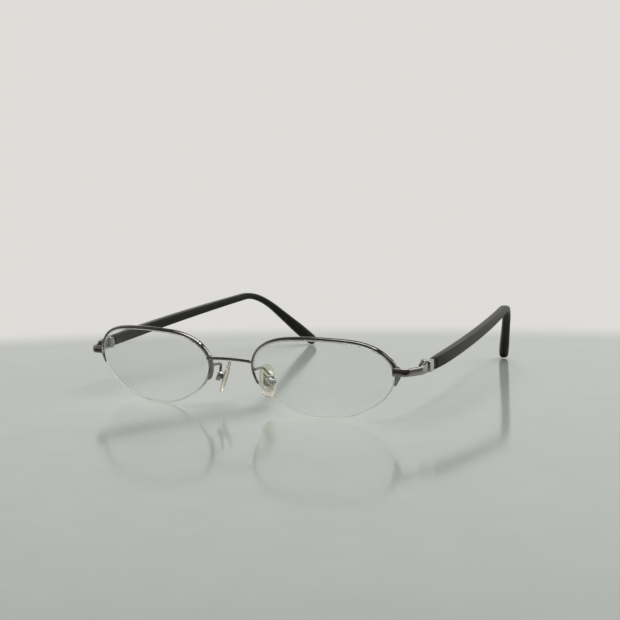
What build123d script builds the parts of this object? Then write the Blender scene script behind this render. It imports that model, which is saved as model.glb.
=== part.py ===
from build123d import *
import math
import os

os.makedirs("parts", exist_ok=True)

# Half-rim eyeglasses standing open on a flat surface, on the lower edges of
# the lenses and the tips of the temples.  Millimetres, +Z up, +X towards the
# wearer's left, the front of the frame faces -Y and the temples run to +Y.
# The origin is on the surface, under the middle of the whole frame.

# ------------------------------------------------------------ driving sizes
FRONT_Y = -73.89        # y of the plane through the two lens centres
HALF_PD = 35.0          # half the distance between lens centres
LENS_Z = 14.30          # height of the lens centres
WRAP = 6.75             # each lens turns back by this many degrees outwards
LEAN = 12.26            # the lenses' tops lean forward by this many degrees
BASE_R = 90.0           # base curve radius at the middle of the lens edge

# Lens outline as a radius around its centre: mean, then (cos, sin) terms
OUTLINE_R0 = 19.374
OUTLINE_TERMS = [(2, 5.6144, -0.1066), (3, -0.0125, 0.6924),
                 (4, 1.0214, -0.0787), (5, -0.0156, 0.2947),
                 (6, 0.1720, -0.0236)]
TOP_SETBACK = 0.42      # the edge is this much inside the outline under the rim
LOW_SETBACK = 0.20      # and this much inside it along the free lower edge

LENS_T = 1.3            # lens edge thickness
GROOVE_DEPTH = 0.60     # groove in the lens edge
GROOVE_HALF = 0.25      # half the width of the grooves
RIM_GAP = 0.05          # lens edge to rim
RIM_T = 0.75            # rim, measured in the plane of the lens
RIM_DEPTH = 1.5         # rim, front to back
RIM_START = -5.2        # temporal end of the rim, degrees around the lens
RIM_END = 190.2         # nasal end
CORD_START = 186.0      # nasal cord hole
CORD_END = 359.0        # temporal cord hole
CORD_HOLE_R = 0.23
CORD_TAIL_R = 0.21

BRIDGE_R = 0.52         # round bridge bar
BRIDGE_Z = 18.76
BRIDGE_ARCH = 0.35
BRIDGE_END = 9.9        # the bar's ends lie over the fronts of the rims
BRIDGE_FWD = 1.65       # its axis is this far in front of the lens centres

HINGE_X, HINGE_Y, HINGE_Z = 65.7, 17.85, 18.30   # hinge axis, y from FRONT_Y
TEMPLE_RISE = 5.2       # the temples climb by this many degrees to the bend
BARREL_R = 1.25
BARREL_HALF = 1.75      # half the height of the whole barrel
MID_HALF = 0.60         # half the height of the temple's knuckle
SCREW_R = 0.60
SCREW_HOLE_R = 0.65
SCREW_THREAD_R = 0.61

TEMPLE_X0 = 1.92        # middle of the temple from the hinge axis, at its start
TEMPLE_Y0 = 4.2         # start of the sleeve behind the hinge axis
TEMPLE_ARC_R = 604.6    # slight outward bow of the temple in plan
TEMPLE_BEND = (-5.94, 101.37, 0.0)    # bend over the ear, in the hinge frame
TEMPLE_TIP = (-18.80, 131.76, -30.37)  # where the tip's line meets the surface
BEND_BEFORE, BEND_AFTER = 9.65, 14.27
TIP_R = 2.50            # the tip's end is rounded by half its height
CORE_T, CORE_H, CORE_LEN = 0.8, 1.4, 76.0

PAD_CENTRE = (9.05, 10.20, 10.05)     # y from FRONT_Y
PAD_LONG = (-0.19, 0.275, 0.942)      # the pad's long direction, upwards
PAD_SPLAY = 58.0        # the pad faces the nose, turned by this from straight back
PAD_W, PAD_H, PAD_T = 6.4, 11.9, 1.9
PAD_CORNER = 2.7
PAD_BOX_W, PAD_BOX_H, PAD_BOX_CORNER = 3.7, 3.8, 1.75
PAD_PIVOT = 2.35        # pad screw in front of the pad's middle
PAD_SCREW_R = 0.35
PAD_HOLE_R = 0.39
ARM_R = 0.48


# --------------------------------------------------------- reference frames
def at(x, y, z):
    """A point with y measured from the plane of the lens centres."""
    return Vector(x, FRONT_Y + y, z)


wrap, lean = math.radians(WRAP), math.radians(LEAN)
LENS_X = Vector(math.cos(wrap), math.sin(wrap), 0)
_up = Vector(0, -math.sin(lean), math.cos(lean))
LENS_Y = (_up - LENS_X * _up.dot(LENS_X)).normalized()
LENS_OUT = LENS_X.cross(LENS_Y)
LENS_C = at(HALF_PD, 0, LENS_Z)
LENS_PLANE = Plane(origin=LENS_C, x_dir=LENS_X, z_dir=LENS_OUT)
BASE_C = LENS_C - LENS_OUT * BASE_R

rise = math.radians(TEMPLE_RISE)
HINGE_PLANE = Plane(origin=at(HINGE_X, HINGE_Y, HINGE_Z), x_dir=(1, 0, 0),
                    z_dir=(0, -math.sin(rise), math.cos(rise)))
HINGE_AXIS = Axis(HINGE_PLANE.origin, HINGE_PLANE.z_dir)

PAD_U = Vector(*PAD_LONG).normalized()
_n = Vector(-math.sin(math.radians(PAD_SPLAY)), math.cos(math.radians(PAD_SPLAY)), 0)
PAD_N = (_n - PAD_U * _n.dot(PAD_U)).normalized()
PAD_ACROSS = PAD_U.cross(PAD_N)
PAD_C = at(*PAD_CENTRE)
PAD_SCREW_C = PAD_C - PAD_N * PAD_PIVOT
PAD_PLANE = Plane(origin=PAD_C, x_dir=PAD_ACROSS, z_dir=PAD_N)
PAD_SIDE = Plane(origin=PAD_SCREW_C, x_dir=PAD_U, z_dir=PAD_ACROSS)
PAD_BOX_PLANE = Plane(origin=PAD_SCREW_C, x_dir=PAD_ACROSS, z_dir=PAD_N)


# ------------------------------------------------------------- lens outline
def edge_radius(phi):
    r = OUTLINE_R0
    for k, c, s in OUTLINE_TERMS:
        r += c * math.cos(k * phi) + s * math.sin(k * phi)
    u = min(1.0, max(0.0, (math.sin(phi) + 0.62) / 0.5))
    u = u * u * (3 - 2 * u)
    return r - (LOW_SETBACK + (TOP_SETBACK - LOW_SETBACK) * u)


def edge_point(phi, out=0.0):
    """A point of the lens outline, moved outwards by out, in the lens plane."""
    h = 1e-4
    r = edge_radius(phi)
    dr = (edge_radius(phi + h) - edge_radius(phi - h)) / (2 * h)
    ds = dr * math.cos(phi) - r * math.sin(phi)
    dt = dr * math.sin(phi) + r * math.cos(phi)
    n = math.hypot(ds, dt)
    return (r * math.cos(phi) + out * dt / n, r * math.sin(phi) - out * ds / n)


def outline(out, count=60):
    return [edge_point(2 * math.pi * i / count, out) for i in range(count)]


def on_curve(phi, out, radius=BASE_R):
    """A point over the outline on a sphere around the base curve's centre."""
    s, t = edge_point(phi, out)
    n = math.sqrt(radius * radius - s * s - t * t) - BASE_R
    return LENS_C + LENS_X * s + LENS_Y * t + LENS_OUT * n


def curved_band(inner, outer, back_r, front_r, start=None, end=None):
    """The band between two offsets of the outline and two spheres of the base
    curve, over the whole outline or from one angle to another."""
    with BuildPart() as band:
        with BuildSketch(LENS_PLANE.offset(-9)):
            with BuildLine():
                Spline(*outline(outer), periodic=True)
            make_face()
            if inner is not None:
                with BuildLine():
                    Spline(*outline(inner), periodic=True)
                make_face(mode=Mode.SUBTRACT)
            if start is not None:
                steps = 8
                rays = [math.radians(start + (end - start) * i / steps) for i in range(steps + 1)]
                with BuildLine():
                    Polyline((0, 0), *[(60 * math.cos(a), 60 * math.sin(a)) for a in rays], close=True)
                make_face(mode=Mode.INTERSECT)
        extrude(amount=14)
        with Locations(BASE_C):
            Sphere(front_r, mode=Mode.INTERSECT)
            Sphere(back_r, mode=Mode.SUBTRACT)
    return band.part


RIM_FRONT, RIM_BACK = BASE_R + RIM_DEPTH / 2, BASE_R - RIM_DEPTH / 2
rim_envelope = curved_band(-2.0, RIM_GAP + RIM_T, RIM_BACK - 6, RIM_FRONT)
rim_body = curved_band(-2.0, RIM_GAP + RIM_T, RIM_BACK, RIM_FRONT)
rim_groove = curved_band(-0.3, RIM_GAP + 0.30, BASE_R - GROOVE_HALF, BASE_R + GROOVE_HALF)
lens_groove = curved_band(-GROOVE_DEPTH, 0.6, BASE_R - GROOVE_HALF, BASE_R + GROOVE_HALF)


def cord_tail(phi, radius, start, length):
    """A round peg along the outline's outward normal."""
    a = on_curve(phi, 0.0)
    d = (on_curve(phi, 1.0) - a).normalized()
    with BuildPart() as tail:
        with BuildSketch(Plane(origin=a + d * start, z_dir=d)):
            Circle(radius)
        extrude(amount=length)
    return tail.part


hole_nasal = cord_tail(math.radians(CORD_START), CORD_HOLE_R, 0.2, 1.2)
hole_temporal = cord_tail(math.radians(CORD_END), CORD_HOLE_R, 0.2, 1.2)
tail_nasal = cord_tail(math.radians(CORD_START), CORD_TAIL_R, -0.6, 1.6)
tail_temporal = cord_tail(math.radians(CORD_END), CORD_TAIL_R, -0.6, 1.6)

# -------------------------------------------------------------- front: rims
rim_blank = curved_band(RIM_GAP, RIM_GAP + RIM_T, RIM_BACK, RIM_FRONT, RIM_START, RIM_END)
with BuildPart() as left_half_rim:
    add(rim_blank)
    fillet(left_half_rim.edges().filter_by(lambda e: e.length > 20), 0.26)
    add(rim_groove, mode=Mode.SUBTRACT)
    add(hole_nasal, mode=Mode.SUBTRACT)
    add(hole_temporal, mode=Mode.SUBTRACT)

# Clear liner strip that fills the rim's groove and keys the lens
liner_band = curved_band(-GROOVE_DEPTH + 0.03, RIM_GAP + 0.29,
                         BASE_R - 0.235, BASE_R + 0.235, 5.0, 180.0)
with BuildPart() as left_rim_liner:
    add(liner_band)

lens_blank = curved_band(None, 0.0, BASE_R - LENS_T / 2, BASE_R + LENS_T / 2)
with BuildPart() as left_lens:
    add(lens_blank)
    chamfer(left_lens.edges().filter_by(lambda e: e.length > 60), 0.14)
    add(lens_groove, mode=Mode.SUBTRACT)

# Nylon cord in the lens groove, its ends turned out through the rim's holes
cord_band = curved_band(-GROOVE_DEPTH + 0.02, -0.08, BASE_R - 0.235, BASE_R + 0.235,
                        CORD_START, CORD_END)
with BuildPart() as left_nylon_cord:
    add(cord_band)
    add(tail_nasal)
    add(tail_temporal)

# ------------------------------------------------------------ front: bridge
rim_envelope_right = mirror(rim_envelope, about=Plane.YZ)
with BuildPart() as bridge:
    with BuildLine() as bridge_path:
        ThreePointArc(at(-BRIDGE_END, -BRIDGE_FWD, BRIDGE_Z), at(0, -BRIDGE_FWD - 0.15, BRIDGE_Z + BRIDGE_ARCH),
                      at(BRIDGE_END, -BRIDGE_FWD, BRIDGE_Z))
    with BuildSketch(bridge_path.line ^ 0):
        Circle(BRIDGE_R)
    sweep()
    add(rim_envelope, mode=Mode.SUBTRACT)
    add(rim_envelope_right, mode=Mode.SUBTRACT)

# --------------------------------------------------------- front: endpieces
with BuildPart() as left_endpiece:
    with BuildSketch(Plane.XY.offset(14)):
        with BuildLine():
            outer_face = FilletPolyline((59.95, FRONT_Y + 4.10), (64.9, FRONT_Y + 4.6),
                                        (68.3, FRONT_Y + 11.8), (68.3, FRONT_Y + 16.4), radius=3.2)
            inner_face = FilletPolyline((59.95, FRONT_Y + 5.6), (64.1, FRONT_Y + 6.0),
                                        (66.9, FRONT_Y + 11.9), (66.9, FRONT_Y + 16.4), radius=2.0)
            Line(outer_face @ 0, inner_face @ 0)
            Line(outer_face @ 1, inner_face @ 1)
        make_face()
    extrude(amount=8)
    with BuildSketch(Plane.YZ.offset(55)):
        with BuildLine():
            Polyline((FRONT_Y + 3.0, 19.10), (FRONT_Y + 9.6, 19.10), (FRONT_Y + 12.2, 19.45),
                     (FRONT_Y + 15.02, 20.15), (FRONT_Y + 15.38, 16.42), (FRONT_Y + 12.2, 16.30),
                     (FRONT_Y + 3.0, 16.30), close=True)
        make_face()
    extrude(amount=18, mode=Mode.INTERSECT)
    add(rim_envelope, mode=Mode.SUBTRACT)

# ------------------------------------------------------------- hinge, front
with BuildPart() as left_hinge_front_leaf:
    with BuildSketch(HINGE_PLANE.offset(-BARREL_HALF)):
        Circle(BARREL_R)
        with Locations((0.65, -2.3)):
            Rectangle(1.1, 4.6)
    extrude(amount=2 * BARREL_HALF)
    with BuildSketch(HINGE_PLANE.offset(-MID_HALF - 0.06)):
        with Locations((0, 0.1)):
            Rectangle(4.0, 3.0)
    extrude(amount=2 * MID_HALF + 0.12, mode=Mode.SUBTRACT)
    with BuildSketch(HINGE_PLANE):
        Circle(SCREW_HOLE_R)
    extrude(amount=3, mode=Mode.SUBTRACT)
    with BuildSketch(HINGE_PLANE.offset(-3)):
        Circle(SCREW_THREAD_R)
    extrude(amount=3, mode=Mode.SUBTRACT)

with BuildPart() as left_hinge_screw:
    with BuildSketch(HINGE_PLANE.offset(-BARREL_HALF - 0.15)):
        Circle(SCREW_R)
    extrude(amount=2 * BARREL_HALF + 0.15)
    with BuildSketch(HINGE_PLANE.offset(BARREL_HALF)):
        Circle(0.95)
    extrude(amount=0.5)
    chamfer(left_hinge_screw.faces().sort_by(HINGE_AXIS)[-1].edges(), 0.14)
    with BuildSketch(HINGE_PLANE.offset(BARREL_HALF + 0.22)):
        Rectangle(2.4, 0.26)
    extrude(amount=0.6, mode=Mode.SUBTRACT)

# ------------------------------------------------------------ hinge, temple
with BuildPart() as left_hinge_temple_leaf:
    with BuildSketch(HINGE_PLANE.offset(-MID_HALF)):
        Circle(BARREL_R)
        with Locations((0.675, 1.15)):
            Rectangle(1.35, 2.7)
    extrude(amount=2 * MID_HALF)
    with BuildSketch(HINGE_PLANE.offset(-2)):
        Circle(SCREW_HOLE_R)
    extrude(amount=4, mode=Mode.SUBTRACT)

with BuildPart() as left_temple_ferrule:
    with BuildSketch(HINGE_PLANE.offset(-1.95)):
        with Locations((2.05, 0.825)):
            Rectangle(1.4, 3.55)
    extrude(amount=3.9)
    fillet(left_temple_ferrule.edges(), 0.22)
    with BuildSketch(HINGE_PLANE.offset(-1.75)):
        with Locations((1.825, -1.55)):
            Rectangle(0.95, 2.0)
    extrude(amount=3.5)
    with BuildSketch(HINGE_PLANE.offset(-CORE_H / 2 - 0.02)):
        with Locations((2.05, 2.4)):
            Rectangle(CORE_T + 0.04, 2.04)
    extrude(amount=CORE_H + 0.04, mode=Mode.SUBTRACT)

with BuildPart() as left_temple_ring:
    with BuildSketch(HINGE_PLANE.offset(-1.95)):
        with Locations((1.925, 3.4)):
            Rectangle(1.95, 1.6)
    extrude(amount=3.9)
    fillet(left_temple_ring.edges(), 0.25)
    with BuildSketch(HINGE_PLANE.offset(-CORE_H / 2 - 0.02)):
        with Locations((2.05, 3.4)):
            Rectangle(CORE_T + 0.04, 3.0)
    extrude(amount=CORE_H + 0.04, mode=Mode.SUBTRACT)


# ------------------------------------------------------------------ temples
def temple_arc(s):
    """Point and heading of the temple's line at s along its bowed length."""
    a = s / TEMPLE_ARC_R
    return (Vector(TEMPLE_X0 - TEMPLE_ARC_R * (1 - math.cos(a)), TEMPLE_Y0 + TEMPLE_ARC_R * math.sin(a), 0),
            Vector(-math.sin(a), math.cos(a), 0))


arc_len = TEMPLE_ARC_R * 2 * math.atan2(TEMPLE_X0 - TEMPLE_BEND[0], TEMPLE_BEND[1] - TEMPLE_Y0)
tip_dir = (Vector(*TEMPLE_TIP) - Vector(*TEMPLE_BEND)).normalized()
drop_len = (Vector(*TEMPLE_TIP) - Vector(*TEMPLE_BEND)).length
bend_p0, bend_d0 = temple_arc(arc_len - BEND_BEFORE)
bend_p1 = bend_p0 + bend_d0 * BEND_BEFORE
bend_p2 = bend_p1 + tip_dir * BEND_AFTER


def temple_bend(t):
    p = bend_p0 * (1 - t) ** 2 + bend_p1 * (2 * t * (1 - t)) + bend_p2 * t ** 2
    d = (bend_p1 - bend_p0) * (2 * (1 - t)) + (bend_p2 - bend_p1) * (2 * t)
    return p, d.normalized()


tip_drop = abs(HINGE_PLANE.from_local_coords(tip_dir).Z - HINGE_PLANE.origin.Z)
end_len = drop_len - BEND_AFTER - TIP_R / tip_drop - 0.003

# (point, heading, thickness, height); the point is moved outwards by shift
stations = []


def station(p, d, t, h, shift):
    side = Vector(d.Y, -d.X, 0).normalized()
    stations.append((p + side * shift, d, t, h))


for s, t, h, o in [(0, 2.5, 3.95, -0.1), (7, 3.2, 3.95, 0.15), (22, 3.7, 3.72, 0.25), (44, 3.9, 3.40, 0.25),
                   (66, 3.9, 3.05, 0.25), (arc_len - BEND_BEFORE, 3.7, 2.72, 0.2)]:
    station(*temple_arc(s), t, h, o)
for u, t, h, o in [(0.27, 3.55, 2.65, 0.15), (0.52, 3.45, 2.70, 0.1), (0.76, 3.4, 2.90, 0.05), (1.0, 3.4, 3.30, 0.0)]:
    station(*temple_bend(u), t, h, o)
for f, t, h, o in [(0.36, 3.6, 4.2, -0.05), (0.70, 4.0, 5.0, -0.15), (1.0, 4.0, 2 * TIP_R, -0.25)]:
    station(bend_p2 + tip_dir * (end_len * f), tip_dir, t, h, o)


def offset_line(axes, size, sign):
    """The stations' points in one view, moved sideways by half the size."""
    pts = []
    for p, d, t, h in stations:
        v, w = (p.X, p.Y), (d.X, d.Y)
        if axes == "side":
            v, w = (p.Y, p.Z), (d.Y, d.Z)
        n = math.hypot(*w)
        half = sign * (t if size == "t" else h) / 2
        pts.append((v[0] - w[1] / n * half, v[1] + w[0] / n * half))
    return pts


side_n = math.hypot(tip_dir.Y, tip_dir.Z)
tip_q = stations[-1][0]
tip_end = tip_q + tip_dir * TIP_R
side_round = (tip_q.Y + tip_dir.Y / side_n * TIP_R, tip_q.Z + tip_dir.Z / side_n * TIP_R)
SIDE_PLANE = Plane(origin=HINGE_PLANE.origin - Vector(45, 0, 0), x_dir=HINGE_PLANE.y_dir, z_dir=(1, 0, 0))

with BuildPart() as left_temple_sleeve:
    with BuildSketch(HINGE_PLANE.offset(-40)):
        with BuildLine():
            plan_out = Spline(*offset_line("plan", "t", -1))
            plan_in = Spline(*offset_line("plan", "t", 1))
            Line(plan_out @ 0, plan_in @ 0)
            ThreePointArc(plan_out @ 1, (tip_end.X, tip_end.Y), plan_in @ 1)
        make_face()
    extrude(amount=50)
    with BuildSketch(SIDE_PLANE):
        with BuildLine():
            side_top = Spline(*offset_line("side", "h", 1))
            side_low = Spline(*offset_line("side", "h", -1))
            Line(side_top @ 0, side_low @ 0)
            ThreePointArc(side_top @ 1, side_round, side_low @ 1)
        make_face()
    extrude(amount=60, mode=Mode.INTERSECT)
    with BuildSketch(HINGE_PLANE.offset(-CORE_H / 2 - 0.02)):
        with BuildLine():
            a1 = CenterArc((TEMPLE_X0 - TEMPLE_ARC_R, TEMPLE_Y0), TEMPLE_ARC_R + 0.13 + CORE_T / 2 + 0.02,
                           0, math.degrees((CORE_LEN + 0.1) / TEMPLE_ARC_R))
            a2 = CenterArc((TEMPLE_X0 - TEMPLE_ARC_R, TEMPLE_Y0), TEMPLE_ARC_R + 0.13 - CORE_T / 2 - 0.02,
                           0, math.degrees((CORE_LEN + 0.1) / TEMPLE_ARC_R))
            Line(a1 @ 0, a2 @ 0)
            Line(a1 @ 1, a2 @ 1)
        make_face()
    extrude(amount=CORE_H + 0.04, mode=Mode.SUBTRACT)

with BuildPart() as left_temple_core:
    with BuildSketch(HINGE_PLANE.offset(-CORE_H / 2)):
        with BuildLine():
            a1 = CenterArc((TEMPLE_X0 - TEMPLE_ARC_R, TEMPLE_Y0), TEMPLE_ARC_R + 0.13 + CORE_T / 2,
                           0, math.degrees(CORE_LEN / TEMPLE_ARC_R))
            a2 = CenterArc((TEMPLE_X0 - TEMPLE_ARC_R, TEMPLE_Y0), TEMPLE_ARC_R + 0.13 - CORE_T / 2,
                           0, math.degrees(CORE_LEN / TEMPLE_ARC_R))
            Line(a1 @ 1, a2 @ 1)
            Polyline(a1 @ 0, ((a1 @ 0).X, 1.5), ((a2 @ 0).X, 1.5), a2 @ 0)
        make_face()
    extrude(amount=CORE_H)

# ---------------------------------------------------------------- nose pads
with BuildPart() as left_pad_box:
    with BuildSketch(PAD_BOX_PLANE.offset(-0.85)):
        RectangleRounded(PAD_BOX_W, PAD_BOX_H, PAD_BOX_CORNER)
    extrude(amount=1.7)
    with BuildSketch(PAD_BOX_PLANE.offset(-2)):
        RectangleRounded(2.36, 2.6, 0.4)
    extrude(amount=4, mode=Mode.SUBTRACT)
    with BuildSketch(PAD_SIDE.offset(-3)):
        Circle(PAD_SCREW_R + 0.01)
    extrude(amount=6, mode=Mode.SUBTRACT)

with BuildPart() as left_pad_screw:
    with BuildSketch(PAD_SIDE.offset(-2.0)):
        Circle(PAD_SCREW_R)
    extrude(amount=3.85)
    with BuildSketch(PAD_SIDE.offset(1.85)):
        Circle(0.65)
    extrude(amount=0.4)
    with BuildSketch(PAD_SIDE.offset(2.05)):
        Rectangle(0.2, 2.0)
    extrude(amount=0.4, mode=Mode.SUBTRACT)

with BuildPart() as left_pad_insert:
    with BuildSketch(PAD_PLANE.offset(-0.62)):
        RectangleRounded(4.2, 7.4, 1.6)
    extrude(amount=0.45)
    with BuildSketch(PAD_SIDE.offset(-1.08)):
        Circle(0.95)
        with Locations((0, 0.95)):
            Rectangle(1.9, 1.9)
    extrude(amount=2.16)
    with BuildSketch(PAD_SIDE.offset(-2)):
        Circle(PAD_HOLE_R)
    extrude(amount=4, mode=Mode.SUBTRACT)

with BuildPart() as left_nose_pad:
    with BuildSketch(PAD_PLANE.offset(-PAD_T / 2)):
        RectangleRounded(PAD_W, PAD_H, PAD_CORNER)
    extrude(amount=PAD_T)
    fillet(left_nose_pad.edges(), 0.7)
    add(left_pad_insert.part, mode=Mode.SUBTRACT)

with BuildPart() as pad_box_envelope:
    with BuildSketch(PAD_BOX_PLANE.offset(-0.85)):
        RectangleRounded(PAD_BOX_W, PAD_BOX_H, PAD_BOX_CORNER)
    extrude(amount=1.7)

with BuildPart() as left_pad_arm:
    with BuildLine() as arm_path:
        FilletPolyline(at(9.15, 1.0, 15.90), at(8.95, 7.3, 15.55), PAD_SCREW_C + PAD_U * 1.65, radius=1.5)
    with BuildSketch(arm_path.line ^ 0):
        Circle(ARM_R)
    sweep()
    add(rim_body, mode=Mode.SUBTRACT)
    add(pad_box_envelope.part, mode=Mode.SUBTRACT)

# ----------------------------------------------------- the other side, mirrored
with BuildPart() as right_half_rim:
    mirror(left_half_rim.part, about=Plane.YZ)
with BuildPart() as right_rim_liner:
    mirror(left_rim_liner.part, about=Plane.YZ)
with BuildPart() as right_lens:
    mirror(left_lens.part, about=Plane.YZ)
with BuildPart() as right_nylon_cord:
    mirror(left_nylon_cord.part, about=Plane.YZ)
with BuildPart() as right_endpiece:
    mirror(left_endpiece.part, about=Plane.YZ)
with BuildPart() as right_hinge_front_leaf:
    mirror(left_hinge_front_leaf.part, about=Plane.YZ)
with BuildPart() as right_hinge_screw:
    mirror(left_hinge_screw.part, about=Plane.YZ)
with BuildPart() as right_hinge_temple_leaf:
    mirror(left_hinge_temple_leaf.part, about=Plane.YZ)
with BuildPart() as right_temple_ferrule:
    mirror(left_temple_ferrule.part, about=Plane.YZ)
with BuildPart() as right_temple_ring:
    mirror(left_temple_ring.part, about=Plane.YZ)
with BuildPart() as right_temple_sleeve:
    mirror(left_temple_sleeve.part, about=Plane.YZ)
with BuildPart() as right_temple_core:
    mirror(left_temple_core.part, about=Plane.YZ)
with BuildPart() as right_pad_arm:
    mirror(left_pad_arm.part, about=Plane.YZ)
with BuildPart() as right_pad_box:
    mirror(left_pad_box.part, about=Plane.YZ)
with BuildPart() as right_pad_screw:
    mirror(left_pad_screw.part, about=Plane.YZ)
with BuildPart() as right_pad_insert:
    mirror(left_pad_insert.part, about=Plane.YZ)
with BuildPart() as right_nose_pad:
    mirror(left_nose_pad.part, about=Plane.YZ)

# ------------------------------------------------------------------- output
bridge.part.label = "bridge"
export_step(bridge.part, "parts/bridge.step")
left_half_rim.part.label = "left_half_rim"
export_step(left_half_rim.part, "parts/left_half_rim.step")
left_rim_liner.part.label = "left_rim_liner"
export_step(left_rim_liner.part, "parts/left_rim_liner.step")
left_lens.part.label = "left_lens"
export_step(left_lens.part, "parts/left_lens.step")
left_nylon_cord.part.label = "left_nylon_cord"
export_step(left_nylon_cord.part, "parts/left_nylon_cord.step")
left_endpiece.part.label = "left_endpiece"
export_step(left_endpiece.part, "parts/left_endpiece.step")
left_hinge_front_leaf.part.label = "left_hinge_front_leaf"
export_step(left_hinge_front_leaf.part, "parts/left_hinge_front_leaf.step")
left_hinge_screw.part.label = "left_hinge_screw"
export_step(left_hinge_screw.part, "parts/left_hinge_screw.step")
left_hinge_temple_leaf.part.label = "left_hinge_temple_leaf"
export_step(left_hinge_temple_leaf.part, "parts/left_hinge_temple_leaf.step")
left_temple_ferrule.part.label = "left_temple_ferrule"
export_step(left_temple_ferrule.part, "parts/left_temple_ferrule.step")
left_temple_ring.part.label = "left_temple_ring"
export_step(left_temple_ring.part, "parts/left_temple_ring.step")
left_temple_sleeve.part.label = "left_temple_sleeve"
export_step(left_temple_sleeve.part, "parts/left_temple_sleeve.step")
left_temple_core.part.label = "left_temple_core"
export_step(left_temple_core.part, "parts/left_temple_core.step")
left_pad_arm.part.label = "left_pad_arm"
export_step(left_pad_arm.part, "parts/left_pad_arm.step")
left_pad_box.part.label = "left_pad_box"
export_step(left_pad_box.part, "parts/left_pad_box.step")
left_pad_screw.part.label = "left_pad_screw"
export_step(left_pad_screw.part, "parts/left_pad_screw.step")
left_pad_insert.part.label = "left_pad_insert"
export_step(left_pad_insert.part, "parts/left_pad_insert.step")
left_nose_pad.part.label = "left_nose_pad"
export_step(left_nose_pad.part, "parts/left_nose_pad.step")
right_half_rim.part.label = "right_half_rim"
export_step(right_half_rim.part, "parts/right_half_rim.step")
right_rim_liner.part.label = "right_rim_liner"
export_step(right_rim_liner.part, "parts/right_rim_liner.step")
right_lens.part.label = "right_lens"
export_step(right_lens.part, "parts/right_lens.step")
right_nylon_cord.part.label = "right_nylon_cord"
export_step(right_nylon_cord.part, "parts/right_nylon_cord.step")
right_endpiece.part.label = "right_endpiece"
export_step(right_endpiece.part, "parts/right_endpiece.step")
right_hinge_front_leaf.part.label = "right_hinge_front_leaf"
export_step(right_hinge_front_leaf.part, "parts/right_hinge_front_leaf.step")
right_hinge_screw.part.label = "right_hinge_screw"
export_step(right_hinge_screw.part, "parts/right_hinge_screw.step")
right_hinge_temple_leaf.part.label = "right_hinge_temple_leaf"
export_step(right_hinge_temple_leaf.part, "parts/right_hinge_temple_leaf.step")
right_temple_ferrule.part.label = "right_temple_ferrule"
export_step(right_temple_ferrule.part, "parts/right_temple_ferrule.step")
right_temple_ring.part.label = "right_temple_ring"
export_step(right_temple_ring.part, "parts/right_temple_ring.step")
right_temple_sleeve.part.label = "right_temple_sleeve"
export_step(right_temple_sleeve.part, "parts/right_temple_sleeve.step")
right_temple_core.part.label = "right_temple_core"
export_step(right_temple_core.part, "parts/right_temple_core.step")
right_pad_arm.part.label = "right_pad_arm"
export_step(right_pad_arm.part, "parts/right_pad_arm.step")
right_pad_box.part.label = "right_pad_box"
export_step(right_pad_box.part, "parts/right_pad_box.step")
right_pad_screw.part.label = "right_pad_screw"
export_step(right_pad_screw.part, "parts/right_pad_screw.step")
right_pad_insert.part.label = "right_pad_insert"
export_step(right_pad_insert.part, "parts/right_pad_insert.step")
right_nose_pad.part.label = "right_nose_pad"
export_step(right_nose_pad.part, "parts/right_nose_pad.step")
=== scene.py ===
import math

import bmesh
import bpy
from mathutils import Matrix, Vector


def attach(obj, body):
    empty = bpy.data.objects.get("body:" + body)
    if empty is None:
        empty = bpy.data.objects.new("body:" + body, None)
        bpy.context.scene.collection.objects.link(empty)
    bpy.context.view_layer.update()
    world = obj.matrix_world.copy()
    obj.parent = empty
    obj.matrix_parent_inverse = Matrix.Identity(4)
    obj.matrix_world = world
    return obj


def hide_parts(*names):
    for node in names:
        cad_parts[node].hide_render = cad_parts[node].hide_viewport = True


# Half-rim eyeglasses.  The CAD frame gives every place and size; this script
# builds the finished surfaces over it.  Shapes are worked out in millimetres
# and turned into metres when a piece is finished.

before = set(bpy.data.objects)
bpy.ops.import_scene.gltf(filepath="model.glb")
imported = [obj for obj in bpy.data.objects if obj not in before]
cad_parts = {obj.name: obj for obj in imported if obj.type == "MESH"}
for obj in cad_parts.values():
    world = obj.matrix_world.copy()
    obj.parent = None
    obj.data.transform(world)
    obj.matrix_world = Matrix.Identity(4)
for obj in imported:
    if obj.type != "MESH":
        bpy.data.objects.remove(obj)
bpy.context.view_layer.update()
MM = 0.001
scene = bpy.context.scene

# ------------------------------------------------------------ sizes from CAD
FRONT_Y = -73.89
HALF_PD = 35.0
LENS_Z = 14.30
WRAP = math.radians(6.75)
LEAN = math.radians(12.26)
BASE_R = 90.0
OUTLINE_R0 = 19.374
OUTLINE_TERMS = [(2, 5.6144, -0.1066), (3, -0.0125, 0.6924),
                 (4, 1.0214, -0.0787), (5, -0.0156, 0.2947),
                 (6, 0.1720, -0.0236)]
TOP_SETBACK, LOW_SETBACK = 0.42, 0.20
RIM_START, RIM_END = -5.2, 190.2
CORD_START, CORD_END = 186.0, 359.0
RISE = math.radians(5.2)


def at(x, y, z):
    return Vector((x, FRONT_Y + y, z))


LENS_X = Vector((math.cos(WRAP), math.sin(WRAP), 0))
_up = Vector((0, -math.sin(LEAN), math.cos(LEAN)))
LENS_Y = (_up - LENS_X * _up.dot(LENS_X)).normalized()
LENS_OUT = LENS_X.cross(LENS_Y)
LENS_C = at(HALF_PD, 0, LENS_Z)

HINGE_O = at(65.7, 17.85, 18.30)
HINGE_Y = Vector((0, math.cos(RISE), math.sin(RISE)))
HINGE_Z = Vector((0, -math.sin(RISE), math.cos(RISE)))

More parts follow.
